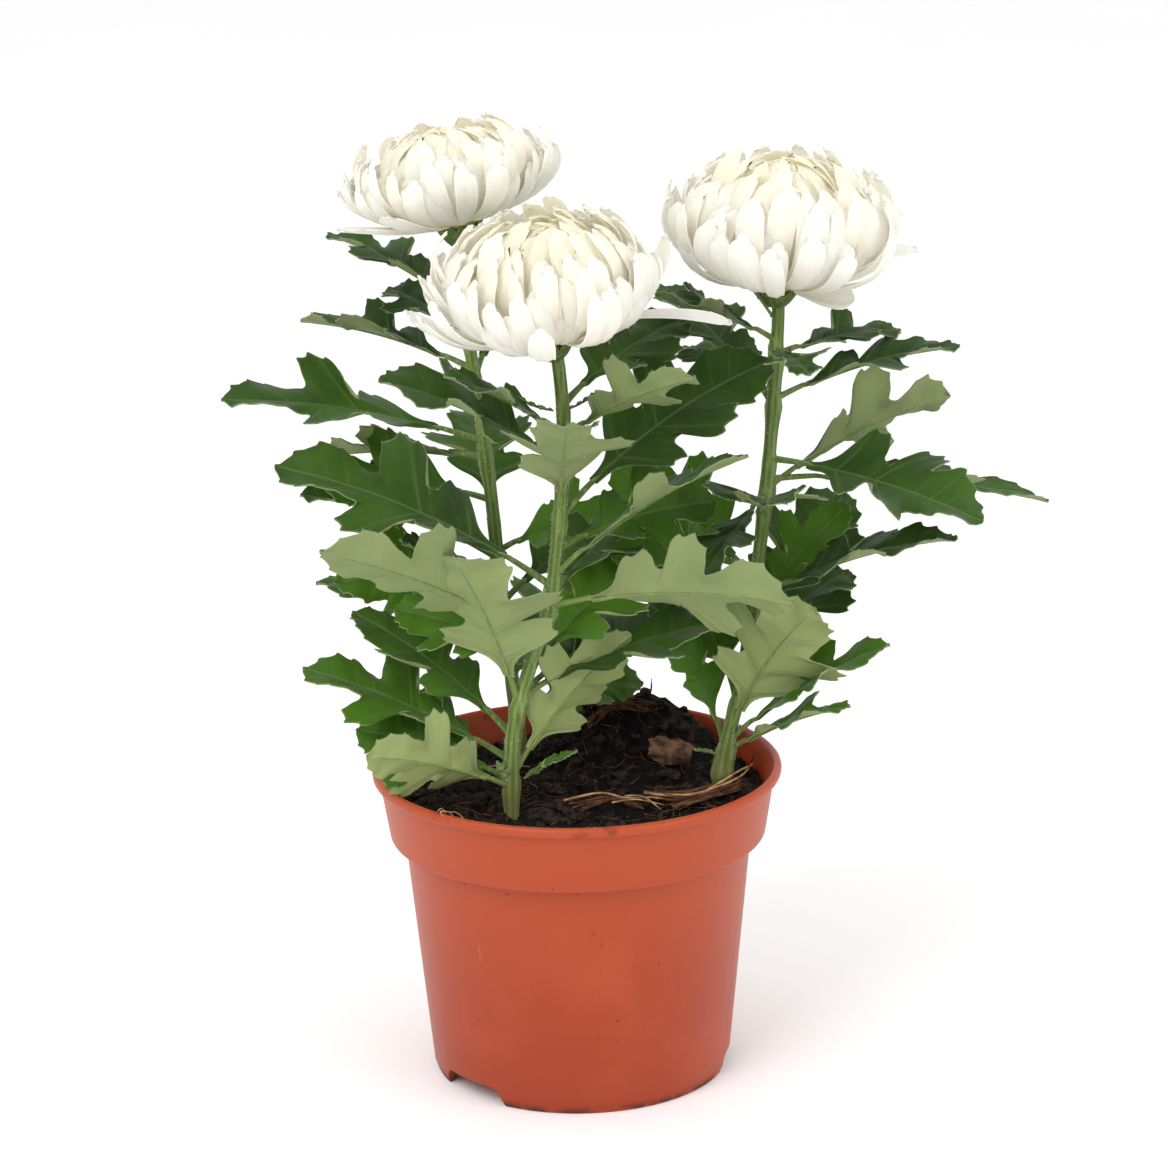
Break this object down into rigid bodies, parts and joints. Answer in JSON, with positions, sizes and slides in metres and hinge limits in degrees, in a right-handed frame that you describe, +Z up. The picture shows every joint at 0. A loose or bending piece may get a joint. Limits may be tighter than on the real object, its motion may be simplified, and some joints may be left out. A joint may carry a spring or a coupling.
{
  "type": "pot chrysanthemum",
  "caption": "Chrysanthemum plant with white incurved blooms on upright leafy stems, growing in soil in a terracotta-coloured nursery pot.",
  "frame": {"origin": "middle of the pot's foot, on the plane that it stands on", "axes": "+Z up along the pot's axis; -Y towards the viewer; +X to the viewer's right"},
  "size_m": [0.2405, 0.1421, 0.2828],
  "materials": {
    "pot": "terracotta orange, satin",
    "soil": "moist peat, dull",
    "bark": "broken bark, dull",
    "foliage": "leaf green, satin",
    "petals": "creamy white, soft"
  },
  "bodies": {
    "root": {"pot": "pot", "soil": "soil", "bark_chip": "bark", "plant_left": "foliage", "plant_front": "foliage", "plant_right": "foliage", "bloom_left": "petals", "bloom_front": "petals", "bloom_right": "petals"}
  },
  "joints": []
}
